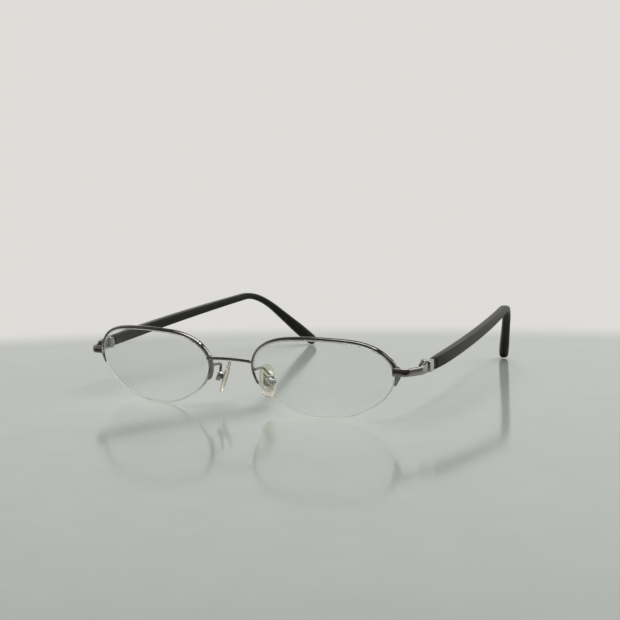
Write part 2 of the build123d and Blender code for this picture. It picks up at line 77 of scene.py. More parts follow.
PAD_U = Vector((-0.19, 0.275, 0.942)).normalized()
_n = Vector((-math.sin(math.radians(58)), math.cos(math.radians(58)), 0))
PAD_N = (_n - PAD_U * _n.dot(PAD_U)).normalized()
PAD_A = PAD_U.cross(PAD_N)
PAD_C = at(9.05, 10.20, 10.05)
PAD_S = PAD_C - PAD_N * 2.35


def hinge(x, y, z):
    """A point given across, along and up the temple from the hinge axis."""
    return HINGE_O + Vector((x, 0, 0)) + HINGE_Y * y + HINGE_Z * z


def pad(a, u, n, origin=PAD_S):
    return origin + PAD_A * a + PAD_U * u + PAD_N * n


# ------------------------------------------------------------------ outline
def edge_radius(phi):
    r = OUTLINE_R0
    for k, c, s in OUTLINE_TERMS:
        r += c * math.cos(k * phi) + s * math.sin(k * phi)
    u = min(1.0, max(0.0, (math.sin(phi) + 0.62) / 0.5))
    u = u * u * (3 - 2 * u)
    return r - (LOW_SETBACK + (TOP_SETBACK - LOW_SETBACK) * u)


def edge_point(phi, out=0.0):
    h = 1e-4
    r = edge_radius(phi)
    dr = (edge_radius(phi + h) - edge_radius(phi - h)) / (2 * h)
    ds = dr * math.cos(phi) - r * math.sin(phi)
    dt = dr * math.sin(phi) + r * math.cos(phi)
    n = math.hypot(ds, dt)
    return r * math.cos(phi) + out * dt / n, r * math.sin(phi) - out * ds / n


def lens_point(s, t, depth=0.0):
    """A point of the lens at s, t in its plane, on the base curve moved
    forward by depth."""
    r = BASE_R + depth
    n = math.sqrt(r * r - s * s - t * t) - BASE_R
    return LENS_C + LENS_X * s + LENS_Y * t + LENS_OUT * n


def on_edge(phi, out, depth=0.0):
    return lens_point(*edge_point(phi, out), depth)


# ------------------------------------------------------------ mesh building
def smooth01(x):
    x = min(1.0, max(0.0, x))
    return x * x * (3 - 2 * x)


def lerp(a, b, t):
    return a + (b - a) * t


def table(x, rows):
    """A smooth value at x from rows of (x, value)."""
    if x <= rows[0][0]:
        return rows[0][1]
    for (x0, v0), (x1, v1) in zip(rows, rows[1:]):
        if x <= x1:
            return lerp(v0, v1, (x - x0) / (x1 - x0))
    return rows[-1][1]


def monotone(rows):
    """A smooth curve through rows of (x, value), with no overshoot."""
    xs = [r[0] for r in rows]
    ys = [r[1] for r in rows]
    n = len(xs)
    d = [(ys[i + 1] - ys[i]) / (xs[i + 1] - xs[i]) for i in range(n - 1)]
    m = [d[0]] + [0.0 if d[i - 1] * d[i] <= 0 else 2 * d[i - 1] * d[i] / (d[i - 1] + d[i])
                  for i in range(1, n - 1)] + [d[-1]]

    def value(x):
        if x <= xs[0]:
            return ys[0]
        if x >= xs[-1]:
            return ys[-1]
        i = max(k for k in range(n - 1) if xs[k] <= x)
        h = xs[i + 1] - xs[i]
        t = (x - xs[i]) / h
        return (ys[i] * (2 * t ** 3 - 3 * t ** 2 + 1) + m[i] * h * (t ** 3 - 2 * t ** 2 + t)
                + ys[i + 1] * (3 * t ** 2 - 2 * t ** 3) + m[i + 1] * h * (t ** 3 - t ** 2))
    return value


def new_mesh(name, verts, faces, uvs=None):
    """A mesh object in millimetres with its normals outwards.  uvs, if given,
    is one list of (u, v) for each face."""
    me = bpy.data.meshes.new(name)
    bm = bmesh.new()
    vs = [bm.verts.new(v) for v in verts]
    layer = bm.loops.layers.uv.new("Along")
    for i, f in enumerate(faces):
        face = bm.faces.new([vs[k] for k in f])
        if uvs is not None:
            for loop, uv in zip(face.loops, uvs[i]):
                loop[layer].uv = uv
    bmesh.ops.recalc_face_normals(bm, faces=bm.faces)
    bm.to_mesh(me)
    bm.free()
    obj = bpy.data.objects.new(name, me)
    scene.collection.objects.link(obj)
    return obj


def skin(name, rings, cap=True):
    """A closed skin over rings of points, each ring with the same count."""
    n = len(rings[0])
    verts = [p for r in rings for p in r]
    along = [0.0]
    for a, b in zip(rings, rings[1:]):
        ca = sum(a, Vector()) / n
        cb = sum(b, Vector()) / n
        along.append(along[-1] + (cb - ca).length)
    widest = max(rings, key=lambda r: sum((r[(j + 1) % n] - r[j]).length for j in range(n)))
    around = [0.0]
    for j in range(n):
        around.append(around[-1] + (widest[(j + 1) % n] - widest[j]).length)
    faces, uvs = [], []
    for i in range(len(rings) - 1):
        for j in range(n):
            k = (j + 1) % n
            faces.append((i * n + j, i * n + k, (i + 1) * n + k, (i + 1) * n + j))
            uvs.append([(along[i], around[j]), (along[i], around[j + 1]),
                        (along[i + 1], around[j + 1]), (along[i + 1], around[j])])
    if cap:
        for i in (0, len(rings) - 1):
            faces.append(tuple(i * n + j for j in range(n)))
            uvs.append([(along[i] + 0.01 * math.cos(6.28 * j / n), around[j]) for j in range(n)])
    return new_mesh(name, verts, faces, uvs)


def tube_frames(points):
    """Tangent and two cross directions at each point, without twist."""
    count = len(points)
    tangents = []
    for i in range(count):
        a, b = points[max(0, i - 1)], points[min(count - 1, i + 1)]
        tangents.append((b - a).normalized())
    side = tangents[0].orthogonal().normalized()
    frames = []
    for i, t in enumerate(tangents):
        if i:
            side = tangents[i - 1].rotation_difference(t) @ side
        side = (side - t * side.dot(t)).normalized()
        frames.append((t, side, t.cross(side)))
    return frames


def tube(name, points, radii, sides=24, round_ends=(True, True)):
    """A round bar along points, with a radius for each point."""
    rings = []
    frames = tube_frames(points)

    def ring(p, f, r):
        return [p + (f[1] * math.cos(2 * math.pi * j / sides) + f[2] * math.sin(2 * math.pi * j / sides)) * r
                for j in range(sides)]
    if round_ends[0]:
        r = radii[0]
        for a in (78, 60, 42, 24, 10):
            a = math.radians(a)
            rings.append(ring(points[0] - frames[0][0] * (r * math.sin(a) - 0 * r), frames[0], r * math.cos(a)))
    for p, f, r in zip(points, frames, radii):
        rings.append(ring(p, f, r))
    if round_ends[1]:
        r = radii[-1]
        for a in (10, 24, 42, 60, 78):
            a = math.radians(a)
            rings.append(ring(points[-1] + frames[-1][0] * (r * math.sin(a)), frames[-1], r * math.cos(a)))
    return skin(name, rings)


def prism(name, outline, place, low, high):
    """A straight prism: outline of (a, b) points, place maps (a, b, c)."""
    n = len(outline)
    verts = [place(a, b, low) for a, b in outline] + [place(a, b, high) for a, b in outline]
    faces = [tuple(range(n)), tuple(range(n, 2 * n))]
    uvs = [list(outline), list(outline)]
    run = 0.0
    for j in range(n):
        k = (j + 1) % n
        step = math.hypot(outline[k][0] - outline[j][0], outline[k][1] - outline[j][1])
        faces.append((j, k, n + k, n + j))
        uvs.append([(run, low), (run + step, low), (run + step, high), (run, high)])
        run += step
    return new_mesh(name, verts, faces, uvs)


def lathe(name, profile, origin, axis, start, sides=40):
    """A turned part: profile of (radius, height) from one pole to the other."""
    axis = axis.normalized()
    u = (start - axis * start.dot(axis)).normalized()
    v = axis.cross(u)
    rings = []
    for r, h in profile:
        rings.append([origin + axis * h + (u * math.cos(2 * math.pi * j / sides)
                                           + v * math.sin(2 * math.pi * j / sides)) * r
                      for j in range(sides)])
    return skin(name, rings)


def circle(r, a0=0.0, a1=360.0, n=32, centre=(0.0, 0.0)):
    full = abs(a1 - a0) >= 360
    steps = n if full else n - 1
    return [(centre[0] + r * math.cos(math.radians(a0 + (a1 - a0) * i / steps)),
             centre[1] + r * math.sin(math.radians(a0 + (a1 - a0) * i / steps))) for i in range(n)]


def rounded(w, h, r, n=8, centre=(0.0, 0.0)):
    pts = []
    for cx, cy, a in ((w / 2 - r, h / 2 - r, 0), (-w / 2 + r, h / 2 - r, 90),
                      (-w / 2 + r, -h / 2 + r, 180), (w / 2 - r, -h / 2 + r, 270)):
        pts += circle(r, a, a + 90, n, (centre[0] + cx, centre[1] + cy))
    return pts


def apply(obj):
    """Applies the object's modifiers to its mesh."""
    bpy.context.view_layer.update()
    dg = bpy.context.evaluated_depsgraph_get()
    made = bpy.data.meshes.new_from_object(obj.evaluated_get(dg), preserve_all_data_layers=True, depsgraph=dg)
    old = obj.data
    obj.modifiers.clear()
    obj.data = made
    bpy.data.meshes.remove(old)
    return obj


def boolean(obj, other, how):
    m = obj.modifiers.new("b", "BOOLEAN")
    m.operation = how
    m.object = other
    m.solver = "EXACT"
    apply(obj)
    bpy.data.objects.remove(other)
    return obj


def bevel(obj, width, segments=3, angle=30):
    m = obj.modifiers.new("v", "BEVEL")
    m.width = width
    m.segments = segments
    m.limit_method = "ANGLE"
    m.angle_limit = math.radians(angle)
    m.harden_normals = False
    m.use_clamp_overlap = True
    return apply(obj)


def other_side(obj, name):
    """The same piece mirrored to the wearer's other side."""
    me = obj.data.copy()
    me.name = name
    me.transform(Matrix.Scale(-1, 4, Vector((1, 0, 0))))
    me.flip_normals()
    twin = bpy.data.objects.new(name, me)
    scene.collection.objects.link(twin)
    return twin


def shade(obj, angle):
    obj.data.shade_smooth()
    obj.data.set_sharp_from_angle(angle=math.radians(angle))


finished = []


def finish_piece(obj, body, material, nodes, angle=32, turned=False):
    obj.data.transform(Matrix.Scale(MM, 4))
    shade(obj, angle)
    obj.data.materials.clear()
    obj.data.materials.append(material)
    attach(obj, body)
    if nodes:
        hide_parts(*nodes)
    finished.append(obj)


def pair(obj, part, body, material, angle=32, suffix=""):
    """Finishes a left piece and its mirrored right one, standing for the CAD
    nodes of that part.  body is front, or temple or nose_pad for each side."""
    twin = other_side(obj, "right_" + part + suffix)
    obj.name = "left_" + part + suffix
    obj.data.name = obj.name
    for o, side in ((obj, "left"), (twin, "right")):
        b = body if body == "front" else side + "_" + body
        finish_piece(o, b, material, [side + "_" + part], angle)


# ---------------------------------------------------------------- materials
class Mat:
    """A node material with a Principled surface and small helpers."""

    def __init__(self, name):
        self.m = bpy.data.materials.new(name)
        self.m.use_nodes = True
        self.t = self.m.node_tree
        self.t.nodes.clear()
        self.out = self.node("ShaderNodeOutputMaterial")
        self.p = self.node("ShaderNodeBsdfPrincipled")
        self.link(self.p.outputs[0], self.out.inputs["Surface"])
        self.coord = self.node("ShaderNodeTexCoord")

    def node(self, kind, **props):
        n = self.t.nodes.new(kind)
        for k, v in props.items():
            setattr(n, k, v)
        return n

    def link(self, a, b):
        self.t.links.new(a, b)

    def set(self, **values):
        for k, v in values.items():
            self.p.inputs[k.replace("_", " ")].default_value = v

    def mapped(self, source="Object", scale=(1, 1, 1)):
        m = self.node("ShaderNodeMapping")
        m.inputs["Scale"].default_value = scale
        self.link(self.coord.outputs[source], m.inputs["Vector"])
        return m.outputs[0]

    def noise(self, vector, scale, detail=3.0, rough=0.5, distort=0.0):
        n = self.node("ShaderNodeTexNoise")
        n.inputs["Scale"].default_value = scale
        n.inputs["Detail"].default_value = detail
        n.inputs["Roughness"].default_value = rough
        n.inputs["Distortion"].default_value = distort
        self.link(vector, n.inputs["Vector"])
        return n.outputs["Fac"]

    def remap(self, value, lo, hi, out_lo, out_hi):
        n = self.node("ShaderNodeMapRange")
        for k, v in (("From Min", lo), ("From Max", hi), ("To Min", out_lo), ("To Max", out_hi)):
            n.inputs[k].default_value = v
        self.link(value, n.inputs["Value"])
        return n.outputs[0]

    def math(self, op, a, b):
        n = self.node("ShaderNodeMath", operation=op)
        for i, x in enumerate((a, b)):
            if isinstance(x, (int, float)):
                n.inputs[i].default_value = x
            else:
                self.link(x, n.inputs[i])
        return n.outputs[0]

    def ramp(self, value, stops):
        n = self.node("ShaderNodeValToRGB")
        e = n.color_ramp.elements
        while len(e) > 1:
            e.remove(e[0])
        e[0].position, e[0].color = stops[0][0], (*stops[0][1], 1)
        for pos, col in stops[1:]:
            s = e.new(pos)
            s.color = (*col, 1)
        self.link(value, n.inputs[0])
        return n.outputs[0]

    def mix(self, fac, a, b):
        n = self.node("ShaderNodeMix", data_type="RGBA")
        if isinstance(fac, (int, float)):
            n.inputs[0].default_value = fac
        else:
            self.link(fac, n.inputs[0])
        for i, x in ((6, a), (7, b)):
            if isinstance(x, tuple):
                n.inputs[i].default_value = (*x, 1)
            else:
                self.link(x, n.inputs[i])
        return n.outputs[2]

    def bump(self, height, strength, distance):
        n = self.node("ShaderNodeBump")
        n.inputs["Strength"].default_value = strength
        n.inputs["Distance"].default_value = distance
        self.link(height, n.inputs["Height"])
        self.link(n.outputs[0], self.p.inputs["Normal"])
        return n


def metal(name, dark, light, rough, scratch=0.05, edge=0.5, painted_recess_shade=None):
    """Plated metal: slow tone changes, a fine polishing grain along the piece
    that drives roughness and bump, and brighter rubbed edges."""
    m = Mat(name)
    obj = m.mapped("Object")
    slow = m.noise(obj, 260.0, 3.0, 0.55)
    fine = m.noise(obj, 4200.0, 4.0, 0.6)
    grain = m.noise(m.mapped("UV", (0.55, 26.0, 1.0)), 1.0, 3.0, 0.6)
    tone = m.mix(m.remap(slow, 0.3, 0.7, 0.0, 1.0), dark, light)
    wear = m.node("ShaderNodeNewGeometry").outputs["Pointiness"]
    rubbed = m.math("MULTIPLY", m.remap(wear, 0.52, 0.60, 0.0, edge), m.remap(fine, 0.35, 0.7, 0.4, 1.0))
    colour = m.mix(rubbed, tone, tuple(min(1.0, c * 1.18) for c in light))
    if painted_recess_shade is not None:
        # painted shade: near-black colour painted where the piece lies in a recess, fading out between two places along
        # it
        sep = m.node("ShaderNodeSeparateXYZ")
        m.link(m.coord.outputs["Object"], sep.inputs[0])
        inside = m.remap(sep.outputs[1], painted_recess_shade[0], painted_recess_shade[1], 1.0, 0.0)
        colour = m.mix(m.math("MULTIPLY", inside, m.remap(slow, 0.2, 0.6, 0.85, 1.0)), colour, painted_recess_shade[2])
    m.link(colour, m.p.inputs["Base Color"])
    spread = m.math("ADD", m.remap(fine, 0.3, 0.75, rough[0], rough[1]),
                    m.remap(grain, 0.4, 0.8, 0.0, (rough[1] - rough[0]) * 0.6))
    m.link(m.math("SUBTRACT", spread, m.math("MULTIPLY", rubbed, rough[0] * 0.5)), m.p.inputs["Roughness"])
    m.set(Metallic=1.0, IOR=2.2)
    m.bump(m.math("ADD", m.math("MULTIPLY", grain, 0.7), m.math("MULTIPLY", fine, 0.3)), scratch, 0.00002)
    return m.m


RIM_METAL = metal("rim_metal", (0.265, 0.251, 0.237), (0.44, 0.422, 0.405), (0.05, 0.13), scratch=0.05)
END_METAL = metal("endpiece_metal", (0.40, 0.376, 0.352), (0.56, 0.53, 0.50), (0.05, 0.12), scratch=0.06)
# painted shade: the ferrule's neck, in the hinge gap, is coloured near black
FERRULE_METAL = metal("ferrule_metal", (0.66, 0.64, 0.60), (0.82, 0.80, 0.765), (0.24, 0.38), scratch=0.12,
                      painted_recess_shade=(-0.05745, -0.05700, (0.055, 0.050, 0.045)))
HINGE_METAL = metal("hinge_metal", (0.44, 0.43, 0.42), (0.60, 0.59, 0.58), (0.14, 0.28), scratch=0.08)
SCREW_STEEL = metal("screw_steel", (0.50, 0.50, 0.50), (0.70, 0.70, 0.70), (0.16, 0.30), scratch=0.10)
PAD_METAL = metal("pad_metal", (0.55, 0.54, 0.51), (0.74, 0.73, 0.70), (0.10, 0.22), scratch=0.06)


def temple_plastic():
    """Dark olive acetate with faint lengthwise streaks and a soft satin wear."""
    m = Mat("temple_plastic")
    long = m.noise(m.mapped("UV", (0.020, 1.15, 1.0)), 1.0, 5.0, 0.62, 0.35)
    thin = m.noise(m.mapped("UV", (0.055, 5.5, 1.0)), 1.0, 4.0, 0.6, 0.1)
    cloud = m.noise(m.mapped("Object"), 95.0, 3.0, 0.5)
    fine = m.noise(m.mapped("Object"), 3800.0, 4.0, 0.6)
    streak = m.math("ADD", m.math("MULTIPLY", long, 0.62), m.math("MULTIPLY", thin, 0.38))
    base = m.ramp(m.remap(streak, 0.34, 0.68, 0.0, 1.0),
                  [(0.0, (0.0065, 0.0070, 0.0050)), (0.45, (0.0130, 0.0136, 0.0095)),
                   (0.75, (0.0260, 0.0250, 0.0190)), (1.0, (0.0470, 0.0440, 0.0350))])
    colour = m.mix(m.remap(cloud, 0.35, 0.7, 0.0, 0.35), base, (0.012, 0.0135, 0.0108))
    m.link(colour, m.p.inputs["Base Color"])
    rough = m.math("ADD", m.remap(fine, 0.3, 0.75, 0.20, 0.34), m.remap(thin, 0.4, 0.7, 0.0, 0.08))
    m.link(rough, m.p.inputs["Roughness"])
    m.set(IOR=1.46)
    m.p.inputs["Specular IOR Level"].default_value = 0.27
    m.bump(m.math("ADD", m.math("MULTIPLY", thin, 0.75), m.math("MULTIPLY", fine, 0.25)), 0.10, 0.00003)
    return m.m


def ring_plastic():
    m = Mat("ring_plastic")
    fine = m.noise(m.mapped("Object"), 3000.0, 4.0, 0.6)
    slow = m.noise(m.mapped("Object"), 500.0, 2.0, 0.5)
    m.link(m.mix(slow, (0.004, 0.004, 0.004), (0.012, 0.012, 0.011)), m.p.inputs["Base Color"])
    m.link(m.remap(fine, 0.3, 0.7, 0.14, 0.26), m.p.inputs["Roughness"])
    m.set(IOR=1.5)
    m.p.inputs["Specular IOR Level"].default_value = 0.18
    m.bump(fine, 0.05, 0.00002)
    return m.m


def clear(name, tint, ior, rough, shadow_tint, haze=None, bump=0.0):
    """A clear material.  Lamps reach what is behind it: a shadow ray passes
    with only a little loss."""
    m = Mat(name)
    fine = m.noise(m.mapped("Object"), 1500.0, 3.0, 0.6)
    smear = m.noise(m.mapped("Object", (1.0, 1.0, 2.2)), 110.0, 4.0, 0.6, 0.8)
    m.link(m.mix(m.remap(smear, 0.35, 0.7, 0.0, 1.0), tint, tuple(c * 0.985 for c in tint)),
           m.p.inputs["Base Color"])
    m.link(m.math("ADD", m.remap(smear, 0.5, 0.85, rough[0], rough[1]), m.remap(fine, 0.5, 0.9, 0.0, rough[1] * 0.3)),
           m.p.inputs["Roughness"])
    m.set(IOR=ior, Transmission_Weight=1.0)
    if haze is not None:
        m.set(Transmission_Weight=haze)
    if bump:
        m.bump(fine, bump, 0.00002)
    lamp = m.node("ShaderNodeLightPath")
    see = m.node("ShaderNodeBsdfTransparent")
    see.inputs[0].default_value = (*shadow_tint, 1)
    mix = m.node("ShaderNodeMixShader")
    m.link(lamp.outputs["Is Shadow Ray"], mix.inputs[0])
    m.link(m.p.outputs[0], mix.inputs[1])
    m.link(see.outputs[0], mix.inputs[2])
    m.link(mix.outputs[0], m.out.inputs["Surface"])
    return m


LENS_MAT = clear("lens", (0.985, 0.992, 0.985), 1.50, (0.0, 0.012), (0.90, 0.91, 0.90)).m
CORD_MAT = clear("clear_nylon", (0.93, 0.94, 0.93), 1.53, (0.10, 0.22), (0.70, 0.71, 0.70), haze=0.9, bump=0.05).m
LINER_MAT = clear("clear_liner", (0.90, 0.91, 0.90), 1.53, (0.15, 0.28), (0.70, 0.71, 0.70), haze=0.9, bump=0.05).m


def pad_silicone():
    m = clear("nose_pad", (0.94, 0.915, 0.775), 1.41, (0.06, 0.16), (0.70, 0.68, 0.57), haze=0.93, bump=0.06)
    return m.m


TEMPLE_MAT = temple_plastic()
RING_MAT = ring_plastic()
PAD_MAT = pad_silicone()

# ---------------------------------------------------------------- half rims
# Section of the rim wire: out from the lens edge, and forward.  The outer
# face is crowned, the corners are well rounded, and the inner face has the
# groove that holds the liner or the cord.
GAP, RT = 0.05, 0.75
half = [(GAP + 0.30, 0.0), (GAP + 0.30, 0.19), (GAP + 0.27, 0.235), (GAP + 0.05, 0.25), (GAP, 0.30)]
half += [(GAP, 0.46)]
half += [(GAP + 0.17 - 0.17 * math.cos(math.radians(a)), 0.58 + 0.17 * math.sin(math.radians(a))) for a in (20, 45, 70, 90)]
half += [(GAP + 0.30, 0.752)]
for a in (90, 78, 66, 54, 42, 30, 18, 6):
    half.append((GAP + 0.385 + 0.34 * math.cos(math.radians(a)), 0.41 + 0.34 * math.sin(math.radians(a))))
half += [(GAP + RT - 0.012, 0.24), (GAP + RT - 0.003, 0.12)]
half = [(a, min(0.75, b)) for a, b in half]
RIM_SECTION = half + [(GAP + RT, 0.0)] + [(a, -b) for a, b in reversed(half[1:])]
RIM_MID = (GAP + 0.42, 0.0)

phis = []
STEP = 0.9
p = RIM_START
while p < RIM_END - 1e-6:
    phis.append(p)
    p += STEP
phis.append(RIM_END)
rings = []
deg_len = math.radians(1) * 26.0


def rim_ring(phi_deg, scale):
    """The section at phi, fuller on its outer side where the endpiece is
    brazed on: a lug that tapers down the rim's end, and a small one above."""
    phi = math.radians(phi_deg)
    low = 1.15 * smooth01((phi_deg + 4.9) / 8.5) * smooth01((9.5 - phi_deg) / 2.5)
    high = 0.38 * smooth01((phi_deg - 8.0) / 2.0) * smooth01((17.5 - phi_deg) / 5.0)
    ring = []
    for a, b in RIM_SECTION:
        a += (low + high) * smooth01((a - GAP - 0.30) / 0.40)
        a = RIM_MID[0] + (a - RIM_MID[0]) * scale
        b = RIM_MID[1] + (b - RIM_MID[1]) * scale
        ring.append(on_edge(phi, a, b))
    return ring


END_ROUND = 0.36
for f in (0.98, 0.85, 0.68, 0.48, 0.27, 0.1):
    rings.append(rim_ring(RIM_START + (1 - f) * END_ROUND / deg_len, math.sqrt(max(0.0, 1 - f * f))))
rings += [rim_ring(q, 1.0) for q in phis if RIM_START + END_ROUND / deg_len < q < RIM_END - END_ROUND / deg_len]
for f in (0.1, 0.27, 0.48, 0.68, 0.85, 0.98):
    rings.append(rim_ring(RIM_END - (1 - f) * END_ROUND / deg_len, math.sqrt(max(0.0, 1 - f * f))))
left = skin("left_half_rim_wire", rings)
for hole_phi in (CORD_START, CORD_END):
    q = math.radians(hole_phi)
    a0 = on_edge(q, 0.0)
    d = (on_edge(q, 1.0) - a0).normalized()
    left = boolean(left, lathe("drill", [(0.23, -0.2), (0.23, 1.6)], a0, d, LENS_OUT, 28), "DIFFERENCE")
pair(left, "half_rim", "front", RIM_METAL, angle=38, suffix="_wire")

# ------------------------------------------------------------------- lenses
SEG, RINGS = 224, 16
verts, faces, uvs = [], [], []
cols = []
section = [(-0.14, 0.65), (-0.04, 0.61), (-0.003, 0.51), (-0.003, 0.25), (-0.60, 0.25), (-0.60, -0.25), (-0.003, -0.25),
           (-0.003, -0.51), (-0.04, -0.61), (-0.14, -0.65)]
loops = []
for side in (1, -1):
    made = []
    for k in range(1, RINGS + 1):
        f = math.sin(0.5 * math.pi * k / RINGS)
        ring = []
        for i in range(SEG):
            s, t = edge_point(2 * math.pi * i / SEG, -0.14)
            ring.append(lens_point(s * f, t * f, 0.65 * side))
        made.append(ring)
    loops.append(made)
front, back = loops
order = front + [[on_edge(2 * math.pi * i / SEG, a, b) for i in range(SEG)] for a, b in section[1:-1]] + list(reversed(back))
verts = [lens_point(0, 0, 0.65)] + [q for r in order for q in r] + [lens_point(0, 0, -0.65)]
for i in range(SEG):
    faces.append((0, 1 + i, 1 + (i + 1) % SEG))
for k in range(len(order) - 1):
    for i in range(SEG):
        j = (i + 1) % SEG
        faces.append((1 + k * SEG + i, 1 + k * SEG + j, 1 + (k + 1) * SEG + j, 1 + (k + 1) * SEG + i))
last = 1 + (len(order) - 1) * SEG
for i in range(SEG):
    faces.append((len(verts) - 1, last + i, last + (i + 1) % SEG))
pair(new_mesh("left_lens_demo", verts, faces), "lens", "front", LENS_MAT, angle=25, suffix="_demo")

# -------------------------------------------------------------- nylon cords
CORD_R, CORD_OUT = 0.225, -0.32


def tail_point(phi, out):
    a0 = on_edge(phi, 0.0)
    d = (on_edge(phi, 1.0) - a0).normalized()
    return a0 + d * out


pts, radii = [], []
s0, s1 = math.radians(CORD_START), math.radians(CORD_END)
turn0, turn1 = math.radians(1.25), math.radians(1.05)
for k in range(7):                      # nasal tail, from its end inwards
    pts.append(tail_point(s0, 0.94 - 0.115 * k * 1.6))
    radii.append(0.205)
a, b, c = tail_point(s0, -0.17), tail_point(s0, CORD_OUT), on_edge(s0 + turn0, CORD_OUT)
for k in range(1, 7):
    t = k / 6
    pts.append(a * (1 - t) ** 2 + b * (2 * t * (1 - t)) + c * t ** 2)
    radii.append(lerp(0.205, CORD_R, t))
steps = 170
for k in range(1, steps):
    pts.append(on_edge(s0 + turn0 + (s1 - turn1 - s0 - turn0) * k / steps, CORD_OUT))
    radii.append(CORD_R)
a, b, c = on_edge(s1 - turn1, CORD_OUT), tail_point(s1, CORD_OUT), tail_point(s1, -0.17)
for k in range(0, 7):
    t = k / 6
    pts.append(a * (1 - t) ** 2 + b * (2 * t * (1 - t)) + c * t ** 2)
    radii.append(lerp(CORD_R, 0.205, t))
for k in range(1, 7):
    pts.append(tail_point(s1, -0.17 + 0.185 * k))
    radii.append(0.205)
pair(tube("left_cord", pts, radii, 16), "nylon_cord", "front", CORD_MAT, angle=60, suffix="_line")

# ------------------------------------------------------------------- bridge
# Round bar, a little fuller where it is brazed on to each rim
BRIDGE_END_X, BRIDGE_Y0, BRIDGE_Y1 = 8.75, -1.62, -1.80
pts, radii = [], []
N = 64
for k in range(N + 1):
    u = -1 + 2 * k / N
    x = BRIDGE_END_X * u
    y = lerp(BRIDGE_Y1, BRIDGE_Y0, u * u)
    z = 18.76 + 0.35 * (1 - u * u)
    pts.append(at(x, y, z))
    near = smooth01((abs(u) - 0.86) / 0.09)
    radii.append(0.50 + 0.10 * near)
bridge = tube("bridge_bar", pts, radii, 28)
finish_piece(bridge, "front", RIM_METAL, ["bridge"], 60)


# --------------------------------------------------------------- endpieces
def fillet_path(points, radius, n=14):
    """Points along straight runs joined by tangent arcs, in plan."""
    path = [Vector(points[0])]
    for a, b, c in zip(points, points[1:], points[2:]):
        a, b, c = Vector(a), Vector(b), Vector(c)
        d0, d1 = (a - b).normalized(), (c - b).normalized()
        angle = d0.angle(d1)
        cut = radius / math.tan(angle / 2)
        centre = b + (d0 + d1).normalized() * (radius / math.sin(angle / 2))
        p0, p1 = b + d0 * cut, b + d1 * cut
        v0, v1 = p0 - centre, p1 - centre
        total = v0.angle(v1)
        sign = 1 if v0.cross(v1) > 0 else -1
        for k in range(n + 1):
            w = sign * total * k / n
            path.append(centre + Vector((v0.x * math.cos(w) - v0.y * math.sin(w),
                                         v0.x * math.sin(w) + v0.y * math.cos(w))))
    path.append(Vector(points[-1]))
    return path


def resample(path, count):
    run = [0.0]
    for a, b in zip(path, path[1:]):
        run.append(run[-1] + (b - a).length)
    made = []
    for k in range(count):
        s = run[-1] * k / (count - 1)
        i = max(j for j in range(len(run) - 1) if run[j] <= s + 1e-9)
        t = (s - run[i]) / max(1e-9, run[i + 1] - run[i])
        made.append(path[i].lerp(path[i + 1], min(1.0, t)))
    return made


COUNT = 60
outer = resample(fillet_path([(59.95, 4.10), (64.9, 4.6), (68.3, 11.8), (68.3, 15.30)], 3.2), COUNT)
inner = resample(fillet_path([(59.95, 5.6), (64.1, 6.0), (66.9, 11.9), (66.9, 15.30)], 2.0), COUNT)
top_z = monotone([(3.0, 19.10), (8.6, 19.10), (10.6, 19.20), (12.4, 19.50), (15.4, 20.20)])
low_z = monotone([(3.0, 16.30), (11.0, 16.30), (13.0, 16.33), (15.4, 16.42)])


def end_ring(k, shrink):
    o, i = outer[k], inner[k]
    mid = (o + i) / 2
    wide = (o - i) / 2
    ring = []
    top, low = top_z(mid.y), low_z(mid.y)
    zc, zh = (top + low) / 2, (top - low) / 2
    w = wide.length
    for a, b in rounded(2.0, 2.0, 1.0, 9):
        # a superellipse: flat faces, softly crowned, with rounded corners
        ang = math.atan2(b, a)
        c, s = math.cos(ang), math.sin(ang)
        e = 2 / 3.3
        x = math.copysign(abs(c) ** e, c)
        z = math.copysign(abs(s) ** e, s)
        ring.append(Vector((mid.x + wide.x * x * shrink, FRONT_Y + mid.y + wide.y * x * shrink,
                            zc + zh * z * (1 - (1 - shrink) * w / zh))))
    return ring


rings = []
for f in (0.95, 0.8, 0.55, 0.3, 0.1):
    o0, i0 = outer[0], inner[0]
    ring = end_ring(0, 1 - 0.22 * (1 - math.sqrt(1 - f * f)) / 0.69)
    rings.append([v + Vector((0.16 * (1 - f), 0, 0)) for v in ring])
for k in range(2, COUNT - 2):
    rings.append(end_ring(k, 1.0))
for f in (0.1, 0.3, 0.55, 0.8, 0.95):
    ring = end_ring(COUNT - 2, 1 - 0.22 * (1 - math.sqrt(1 - f * f)) / 0.69)
    rings.append([v + Vector((0, 0.16 * f, 0)) for v in ring])
pair(skin("left_end", rings), "endpiece", "front", END_METAL, angle=50, suffix="_bar")

# ------------------------------------------------------------------- hinges
knuckle = circle(1.25, 75, 360 + 0, 30)
web = [(1.2, 0.0), (1.2, -4.6), (0.1, -4.6)]
# outline of the front leaf: the round barrel runs into the straight web
start = math.degrees(math.asin(0.1 / 1.25))
barrel = [(1.25 * math.cos(math.radians(a)), 1.25 * math.sin(math.radians(a)))
          for a in [x for x in range(0, 271, 9)]]
front_outline = barrel + [(0.1, -1.25), (0.1, -4.55), (0.15, -4.6), (1.15, -4.6), (1.2, -4.55), (1.2, -0.3)]
leaf = prism("left_front_leaf", front_outline, hinge, -1.75, 1.75)
gap = prism("gap", [(-2.0, -1.42), (2.0, -1.42), (2.0, 1.8), (-2.0, 1.8)], hinge, -0.66, 0.66)
leaf = boolean(leaf, gap, "DIFFERENCE")
leaf = boolean(leaf, prism("bore", circle(0.65, n=28), hinge, -3, 3), "DIFFERENCE")
leaf = bevel(leaf, 0.10, 3, 35)
pair(leaf, "hinge_front_leaf", "front", HINGE_METAL, angle=40, suffix="_knuckles")

